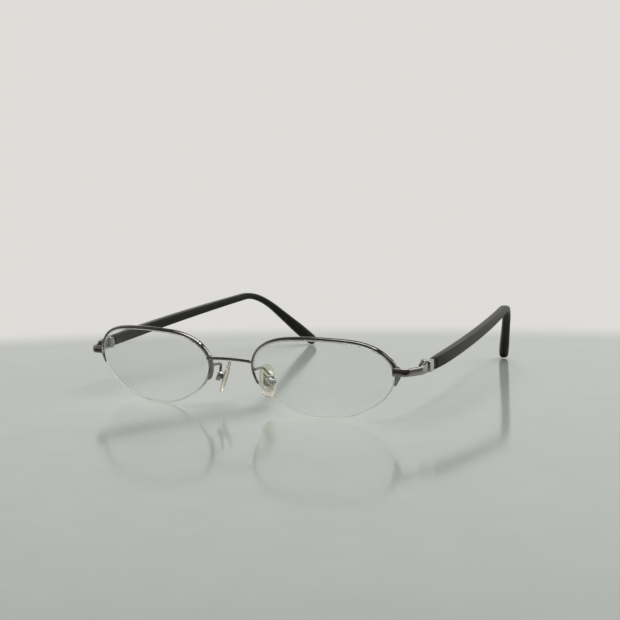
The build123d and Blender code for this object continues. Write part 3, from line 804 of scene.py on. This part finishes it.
barrel = [(1.25 * math.cos(math.radians(a)), 1.25 * math.sin(math.radians(a))) for a in range(90, 361, 9)]
temple_outline = barrel + [(1.35, 0.0), (1.35, 2.5), (0.05, 2.5), (0.0, 2.45)]
leaf = prism("left_temple_leaf", temple_outline, hinge, -0.60, 0.60)
leaf = boolean(leaf, prism("bore", circle(0.65, n=28), hinge, -3, 3), "DIFFERENCE")
leaf = bevel(leaf, 0.09, 3, 35)
pair(leaf, "hinge_temple_leaf", "temple", HINGE_METAL, angle=40, suffix="_knuckle")

head = lathe("left_screw", [(0.30, -1.90), (0.52, -1.87), (0.60, -1.78), (0.60, 1.74), (0.86, 1.752), (0.93, 1.79),
                            (0.95, 1.86), (0.95, 2.02), (0.90, 2.12), (0.76, 2.20), (0.5, 2.243), (0.2, 2.25)],
             HINGE_O, HINGE_Z, Vector((1, 0, 0)), 44)
head = boolean(head, prism("slot", [(-1.3, -0.13), (1.3, -0.13), (1.3, 0.13), (-1.3, 0.13)], hinge, 1.97, 2.6), "DIFFERENCE")
head = bevel(head, 0.03, 2, 50)
pair(head, "hinge_screw", "front", SCREW_STEEL, angle=35, suffix="_slotted")

# -------------------------------------------------------- ferrules and rings
plan = [(1.35, -2.55), (2.3, -2.55), (2.3, -1.15), (2.42, -0.98), (2.75, -0.86), (2.75, 2.6), (1.35, 2.6)]
fer = prism("left_ferrule", [(1.35, -0.95), (2.75, -0.95), (2.75, 2.6), (1.35, 2.6)], hinge, -1.95, 1.95)
fer = bevel(fer, 0.34, 5, 35)
neck = prism("neck", [(1.38, -2.50), (1.95, -2.50), (1.95, -0.3), (1.38, -0.3)], hinge, -1.70, 1.70)
neck = bevel(neck, 0.18, 4, 35)
fer = boolean(fer, neck, "UNION")
pair(fer, "temple_ferrule", "temple", FERRULE_METAL, angle=35, suffix="_sleeve")

ring_outline = rounded(1.95, 3.9, 0.42, 8, (1.925, 0.0))
rings = []
for y, k in ((2.60, 0.16), (2.63, 0.07), (2.70, 0.02), (2.80, 0.0), (3.2, 0.0), (3.6, 0.0), (4.0, 0.0), (4.10, 0.02), (4.17, 0.07), (4.20, 0.16)):
    sx, sz = 1 - 2 * k / 1.95, 1 - 2 * k / 3.9
    rings.append([hinge(1.925 + (a - 1.925) * sx, y, b * sz) for a, b in ring_outline])
pair(skin("left_ring", rings), "temple_ring", "temple", RING_MAT, angle=50, suffix="_band")

# ------------------------------------------------------------------ temples
X0, Y0, ARC_R = 1.92, 4.2, 604.6
BEND = Vector((-5.94, 101.37, 0.0))
TIP = Vector((-18.80, 131.76, -30.37))
BEFORE, AFTER = 9.65, 14.27
arc_len = ARC_R * 2 * math.atan2(X0 - BEND.x, BEND.y - Y0)
tip_dir = (TIP - BEND).normalized()
drop_len = (TIP - BEND).length


def arc(s):
    a = s / ARC_R
    return (Vector((X0 - ARC_R * (1 - math.cos(a)), Y0 + ARC_R * math.sin(a), 0)),
            Vector((-math.sin(a), math.cos(a), 0)))


b0, bd0 = arc(arc_len - BEFORE)
b1 = b0 + bd0 * BEFORE
b2 = b1 + tip_dir * AFTER


def bend_at(t):
    q = b0 * (1 - t) ** 2 + b1 * (2 * t * (1 - t)) + b2 * t ** 2
    d = (b1 - b0) * (2 * (1 - t)) + (b2 - b1) * (2 * t)
    return q, d.normalized()


# distance along the temple, with the thickness and height of its section
bend_len = sum((bend_at((k + 1) / 60)[0] - bend_at(k / 60)[0]).length for k in range(60))
S_BEND = arc_len - BEFORE
S_DROP = S_BEND + bend_len
TIP_END = drop_len - AFTER
TIP_R = 2.50
tip_drop = abs(tip_dir.y * math.sin(RISE) + tip_dir.z * math.cos(RISE))
END_LEN = TIP_END - TIP_R / tip_drop - 0.003
thick = monotone([(0, 2.5), (7, 3.2), (22, 3.7), (44, 3.88), (66, 3.9), (S_BEND, 3.7), (S_BEND + 0.5 * bend_len, 3.45),
                  (S_DROP, 3.4), (S_DROP + 0.36 * END_LEN, 3.6), (S_DROP + 0.70 * END_LEN, 3.95), (S_DROP + END_LEN, 4.0)])
tall = monotone([(0, 3.95), (7, 3.93), (22, 3.72), (44, 3.40), (66, 3.05), (S_BEND, 2.72), (S_BEND + 0.3 * bend_len, 2.65),
                 (S_BEND + 0.6 * bend_len, 2.70), (S_DROP - 0.2 * bend_len, 2.86), (S_DROP, 3.22),
                 (S_DROP + 0.36 * END_LEN, 4.05), (S_DROP + 0.70 * END_LEN, 4.78), (S_DROP + END_LEN, 4.80)])
shift = monotone([(0, -0.1), (7, 0.15), (22, 0.24), (66, 0.25), (S_BEND, 0.2), (S_BEND + 0.5 * bend_len, 0.1),
                  (S_DROP, 0.0), (S_DROP + 0.36 * END_LEN, -0.05), (S_DROP + 0.70 * END_LEN, -0.15), (S_DROP + END_LEN, -0.25)])
corner = monotone([(0, 0.42), (20, 0.55), (60, 0.70), (S_BEND, 0.95), (S_DROP, 1.10), (S_DROP + END_LEN, 1.45)])


def temple_at(s):
    if s <= S_BEND:
        return arc(s)
    if s <= S_DROP:
        return bend_at_length(s - S_BEND)
    return b2 + tip_dir * (s - S_DROP), tip_dir


_lens = [0.0]
for k in range(240):
    _lens.append(_lens[-1] + (bend_at((k + 1) / 240)[0] - bend_at(k / 240)[0]).length)


def bend_at_length(s):
    s = s * _lens[-1] / bend_len
    i = max(k for k in range(240) if _lens[k] <= s + 1e-9)
    return bend_at((i + (s - _lens[i]) / (_lens[i + 1] - _lens[i])) / 240)


def section(t, h, r, crown=0.045, n=7):
    """Rounded rectangle of thickness t and height h with corner radius r, its
    faces a little crowned."""
    pts = []
    r = min(r, t / 2 - 0.01, h / 2 - 0.01)
    flats = 4
    corners = ((t / 2 - r, h / 2 - r, 0), (-t / 2 + r, h / 2 - r, 90), (-t / 2 + r, -h / 2 + r, 180), (t / 2 - r, -h / 2 + r, 270))
    for i, (cx, cy, a) in enumerate(corners):
        pts += circle(r, a, a + 90, n, (cx, cy))
        nx = corners[(i + 1) % 4]
        p0, p1 = pts[-1], (nx[0] + r * math.cos(math.radians(nx[2])), nx[1] + r * math.sin(math.radians(nx[2])))
        for k in range(1, flats):
            f = k / flats
            pts.append((lerp(p0[0], p1[0], f), lerp(p0[1], p1[1], f)))
    made = []
    for a, b in pts:
        ka = 1 - crown * (1 - math.cos(math.pi * min(1.0, abs(b) / (h / 2)) / 2)) * 2 / t
        kb = 1 - crown * (1 - math.cos(math.pi * min(1.0, abs(a) / (t / 2)) / 2)) * 2 / h
        made.append((a * ka, b * kb))
    return made


def temple_ring(s, shrink_t=1.0, shrink_h=1.0, shrink_top=None):
    q, d = temple_at(s)
    n = math.hypot(d.x, d.y)
    side = Vector((d.y / n, -d.x / n, 0))
    up = side.cross(d)
    t, h, r = thick(s), tall(s), corner(s)
    top = shrink_h if shrink_top is None else shrink_top
    return [hinge(*(q + side * (a * shrink_t + shift(s)) + up * (b * (top if b > 0 else shrink_h)))) for a, b in section(t, h, r)]


SLEEVE_END = S_DROP + END_LEN + TIP_R - 0.46
ROUND = 2.40
stations = [0.0, 0.05, 0.12, 0.22]
s = 1.2
while s < SLEEVE_END - ROUND - 0.1:
    stations.append(s)
    s += 1.25 if s < S_BEND - 4 or s > S_DROP + 2 else 0.55
rings = []
for s in stations:
    k = {0.0: 0.90, 0.05: 0.955, 0.12: 0.985, 0.22: 1.0}.get(s, 1.0)
    rings.append(temple_ring(s, k, lerp(1, k, 0.6)))
for k in range(1, 13):
    a = math.radians(90 * k / 12.6)
    s = SLEEVE_END - ROUND + ROUND * math.sin(a)
    f = math.cos(a)
    rings.append(temple_ring(s, f ** 0.95, f, f ** 2.0))
pair(skin("left_sleeve", rings), "temple_sleeve", "temple", TEMPLE_MAT, angle=70, suffix="_acetate")

# ----------------------------------------------------------------- nose pads
PW, PH, PT = 6.4 / 2, 11.9 / 2, 1.9 / 2
SEGS = 72


def pad_outline(a):
    x, y = math.cos(a), math.sin(a)
    e = 2 / 2.75
    x = math.copysign(abs(x) ** e, x)
    y = math.copysign(abs(y) ** e, y)
    narrow = 1 - 0.07 * smooth01((y + 0.2) / 1.2)
    return PW * x * narrow, PH * y


layers = []
for k in range(1, 23):
    a = math.pi * k / 23
    rim = math.sin(a) ** 0.52
    z = math.copysign(abs(math.cos(a)) ** 0.80, math.cos(a))
    ring = []
    for i in range(SEGS):
        x, y = pad_outline(2 * math.pi * i / SEGS)
        dish = 0.10 * (1 - rim) if z < 0 else 0.0
        ring.append(pad(x * rim, y * rim, PT * (z + dish) * (1 - 0.10 * (y / PH) ** 2 * rim), PAD_C))
    layers.append(ring)
pair(skin("left_pad", layers), "nose_pad", "nose_pad", PAD_MAT, angle=80, suffix="_silicone")

box = prism("left_box", rounded(3.7, 3.8, 1.75, 10), pad, -0.85, 0.85)
box = boolean(box, prism("slot", rounded(2.36, 2.6, 0.9, 8), pad, -2, 2), "DIFFERENCE")
box = bevel(box, 0.16, 4, 40)
pair(box, "pad_box", "front", PAD_METAL, angle=40, suffix="_cup")


def pad_side(u, n, a):
    return pad(a, u, n)


screw = lathe("left_pad_screw", [(0.15, -2.00), (0.30, -1.98), (0.35, -1.92), (0.35, 1.85), (0.58, 1.855), (0.65, 1.92),
                                 (0.65, 2.08), (0.60, 2.18), (0.45, 2.24), (0.15, 2.25)],
              PAD_S, PAD_A, PAD_U, 32)
screw = boolean(screw, prism("slot", [(-0.9, -0.09), (0.9, -0.09), (0.9, 0.09), (-0.9, 0.09)], pad_side, 2.06, 2.6), "DIFFERENCE")
screw = bevel(screw, 0.02, 2, 50)
pair(screw, "pad_screw", "front", SCREW_STEEL, angle=40, suffix="_slotted")

plate = prism("left_insert", rounded(4.2, 7.4, 1.6, 10), lambda a, u, n: pad(a, u, n, PAD_C), -0.62, -0.17)
plate = bevel(plate, 0.10, 3, 40)
boss = prism("boss", circle(0.95, 180, 360, 20) + [(0.95, 1.95), (-0.95, 1.95)], pad_side, -1.08, 1.08)
boss = boolean(boss, prism("bore", circle(0.39, n=24), pad_side, -2, 2), "DIFFERENCE")
boss = bevel(boss, 0.08, 3, 40)
plate = boolean(plate, boss, "UNION")
pair(plate, "pad_insert", "nose_pad", PAD_METAL, angle=40, suffix="_plate")

# pad arms: a wire from the rim that turns down into the box
a0, a1 = at(9.15, 1.0, 15.90), at(8.95, 7.3, 15.55)
a2 = PAD_S + PAD_U * 1.75
d0, d1 = (a0 - a1).normalized(), (a2 - a1).normalized()
ang = d0.angle(d1)
R = 1.7
cut = R / math.tan(ang / 2)
centre = a1 + (d0 + d1).normalized() * (R / math.sin(ang / 2))
v0 = a1 + d0 * cut - centre
v1 = a1 + d1 * cut - centre
pts = [a0 + (a1 + d0 * cut - a0) * (k / 14) for k in range(14)]
turn = v0.angle(v1)
for k in range(17):
    f = k / 16
    pts.append(centre + (v0 * math.sin((1 - f) * turn) + v1 * math.sin(f * turn)) / math.sin(turn))
end = a1 + d1 * cut
pts += [end + (a2 - end) * (k / 6) for k in range(1, 7)]
radii = []
for k, q in enumerate(pts):
    radii.append(0.47 + 0.13 * smooth01(1 - (q - a0).length / 1.6) + 0.10 * smooth01(1 - (q - a2).length / 0.7))
pair(tube("left_arm", pts, radii, 22), "pad_arm", "front", RIM_METAL, angle=60, suffix="_wire")

# --------------------------------------------- CAD nodes that stay as they are
STEEL_CORE = metal("core_steel", (0.42, 0.42, 0.42), (0.55, 0.55, 0.55), (0.25, 0.40), scratch=0.10)
for side in ("left", "right"):
    for part, mat in (("rim_liner", LINER_MAT), ("temple_core", STEEL_CORE)):
        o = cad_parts[side + "_" + part]
        if o.data.materials:
            o.material_slots[0].link = "OBJECT"
            o.material_slots[0].material = mat
        else:
            o.data.materials.append(mat)


# -------------------------------------------------------------------- stage
def stage_plane(name, size):
    me = bpy.data.meshes.new(name)
    h = size / 2
    me.from_pydata([(-h, -h, -0.00005), (h, -h, -0.00005), (h, h, -0.00005), (-h, h, -0.00005)], [], [(0, 1, 2, 3)])
    o = bpy.data.objects.new(name, me)
    scene.collection.objects.link(o)
    return o


floor = stage_plane("floor", 12.0)
fm = Mat("floor_pale")
fn = fm.noise(fm.mapped("Object"), 60.0, 3.0, 0.5)
near_tone = fm.mix(fm.remap(fn, 0.3, 0.7, 0.0, 1.0), (0.520, 0.566, 0.536), (0.545, 0.586, 0.556))
# painted reflection: polished metal sees the sheet darker than the camera does, most of all in two fixed zones towards
# its front corners, painted near black to stand in for a dark room
reach = fm.node("ShaderNodeVectorMath", operation="DISTANCE")
reach.inputs[1].default_value = (0.20, -0.38, 0.0)
fm.link(fm.coord.outputs["Object"], reach.inputs[0])
rays = fm.node("ShaderNodeLightPath")
gloss = fm.math("MULTIPLY", rays.outputs["Is Glossy Ray"], fm.math("SUBTRACT", 1.0, rays.outputs["Is Transmission Ray"]))
corners = []
for aim in ((0.6, -0.8, 0.0), (-0.6, -0.8, 0.0)):
    d = fm.node("ShaderNodeVectorMath", operation="DOT_PRODUCT")
    d.inputs[1].default_value = aim
    fm.link(fm.coord.outputs["Object"], d.inputs[0])
    corners.append(fm.remap(d.outputs["Value"], 0.110, 0.152, 0.34, 0.98))
dark = fm.math("MULTIPLY", gloss, fm.math("MAXIMUM", corners[0], corners[1]))
fm.link(fm.mix(dark, near_tone, (0.015, 0.0155, 0.0145)), fm.p.inputs["Base Color"])
fm.link(fm.math("SUBTRACT", 0.5, fm.math("MULTIPLY", dark, 0.5)), fm.p.inputs["Specular IOR Level"])
fm.set(Roughness=0.12, IOR=1.45)
# at a distance the sheet turns up all round into a plain pale backdrop
far = fm.node("ShaderNodeEmission")
far.inputs[0].default_value = (0.735, 0.72, 0.69, 1)
# painted reflection: polished metal sees the far backdrop at half brightness
fm.link(fm.math("SUBTRACT", 1.0, fm.math("MULTIPLY", gloss, 0.50)), far.inputs[1])
turn_up = fm.node("ShaderNodeMixShader")
step = fm.node("ShaderNodeMapRange", interpolation_type="SMOOTHSTEP")
for k, v in (("From Min", 0.535), ("From Max", 0.592), ("To Min", 0.0), ("To Max", 1.0)):
    step.inputs[k].default_value = v
fm.link(reach.outputs["Value"], step.inputs["Value"])
fm.link(step.outputs[0], turn_up.inputs[0])
fm.link(fm.p.outputs[0], turn_up.inputs[1])
fm.link(far.outputs[0], turn_up.inputs[2])
fm.link(turn_up.outputs[0], fm.out.inputs["Surface"])
floor.data.materials.append(fm.m)

# plain soft surroundings: pale all round, darker behind the camera, so that
# polished metal has something to show
world = bpy.data.worlds.new("studio")
scene.world = world
world.use_nodes = True
wt = world.node_tree
wt.nodes.clear()
wout = wt.nodes.new("ShaderNodeOutputWorld")
bg_see = wt.nodes.new("ShaderNodeBackground")
bg_see.inputs[0].default_value = (0.735, 0.72, 0.69, 1)
bg_see.inputs[1].default_value = 1.0
bg_light = wt.nodes.new("ShaderNodeBackground")
wc = wt.nodes.new("ShaderNodeTexCoord")
dot = wt.nodes.new("ShaderNodeVectorMath")
dot.operation = "DOT_PRODUCT"
dot.inputs[1].default_value = (0.47, -0.88, 0.0)
wt.links.new(wc.outputs["Generated"], dot.inputs[0])
around = wt.nodes.new("ShaderNodeMapRange")
around.interpolation_type = "SMOOTHSTEP"
for k, v in (("From Min", -0.45), ("From Max", 0.55), ("To Min", 0.72), ("To Max", 0.05)):
    around.inputs[k].default_value = v
wt.links.new(dot.outputs["Value"], around.inputs["Value"])
sep = wt.nodes.new("ShaderNodeSeparateXYZ")
wt.links.new(wc.outputs["Generated"], sep.inputs[0])
high = wt.nodes.new("ShaderNodeMapRange")
high.interpolation_type = "SMOOTHSTEP"
for k, v in (("From Min", 0.30), ("From Max", 0.48), ("To Min", 0.0), ("To Max", 1.0)):
    high.inputs[k].default_value = v
wt.links.new(sep.outputs["Z"], high.inputs["Value"])
blend = wt.nodes.new("ShaderNodeMix")
blend.data_type = "FLOAT"
wt.links.new(high.outputs[0], blend.inputs[0])
wt.links.new(around.outputs[0], blend.inputs[2])
blend.inputs[3].default_value = 0.10
wt.links.new(blend.outputs[0], bg_light.inputs["Strength"])
bg_light.inputs[0].default_value = (1.0, 0.99, 0.96, 1)
path = wt.nodes.new("ShaderNodeLightPath")
either = wt.nodes.new("ShaderNodeMath")
either.operation = "MAXIMUM"
wt.links.new(path.outputs["Is Camera Ray"], either.inputs[0])
wt.links.new(path.outputs["Is Transmission Ray"], either.inputs[1])
wmix = wt.nodes.new("ShaderNodeMixShader")
wt.links.new(either.outputs[0], wmix.inputs[0])
wt.links.new(bg_light.outputs[0], wmix.inputs[1])
wt.links.new(bg_see.outputs[0], wmix.inputs[2])
wt.links.new(wmix.outputs[0], wout.inputs[0])


def area(name, where, target, size, size_y, power, colour=(1, 1, 1)):
    l = bpy.data.lights.new(name, "AREA")
    l.shape = "RECTANGLE"
    l.size, l.size_y = size, size_y
    l.energy = power
    l.color = colour
    o = bpy.data.objects.new(name, l)
    scene.collection.objects.link(o)
    o.location = where
    o.rotation_mode = "QUATERNION"
    o.rotation_quaternion = (Vector(target) - Vector(where)).to_track_quat("-Z", "Y")
    return o


area("ceiling_key", (0.10, 0.05, 1.40), (0.0, 0.0, 0.0), 1.7, 1.1, 12.0, (1.0, 0.985, 0.955))
area("side_soft", (1.1, 0.55, 0.80), (0.0, 0.0, 0.02), 1.0, 0.8, 3.5, (0.97, 0.985, 1.0))
area("strip", (0.55, 0.10, 1.05), (0.0, 0.0, 0.02), 0.70, 0.07, 1.4, (1.0, 0.99, 0.97))

# ------------------------------------------------------------------- camera
az, el, roll = 0.4945033, 0.1243681, -0.0122586
right = Vector((math.cos(az), math.sin(az), 0))
fwd = Vector((-math.sin(az) * math.cos(el), math.cos(az) * math.cos(el), -math.sin(el)))
up = right.cross(fwd)
r2 = right * math.cos(roll) + up * math.sin(roll)
u2 = up * math.cos(roll) - right * math.sin(roll)
cam_data = bpy.data.cameras.new("camera")
cam_data.sensor_width = 36.0
cam_data.lens = 72.12
cam_data.clip_start, cam_data.clip_end = 0.01, 50.0
cam = bpy.data.objects.new("camera", cam_data)
scene.collection.objects.link(cam)
m = Matrix.Identity(4)
for i in range(3):
    m[i][0], m[i][1], m[i][2] = r2[i], u2[i], -fwd[i]
m[0][3], m[1][3], m[2][3] = 0.2290766, -0.439966, 0.089729
cam.matrix_world = m
scene.camera = cam

scene.view_settings.view_transform = "Standard"
scene.view_settings.look = "None"
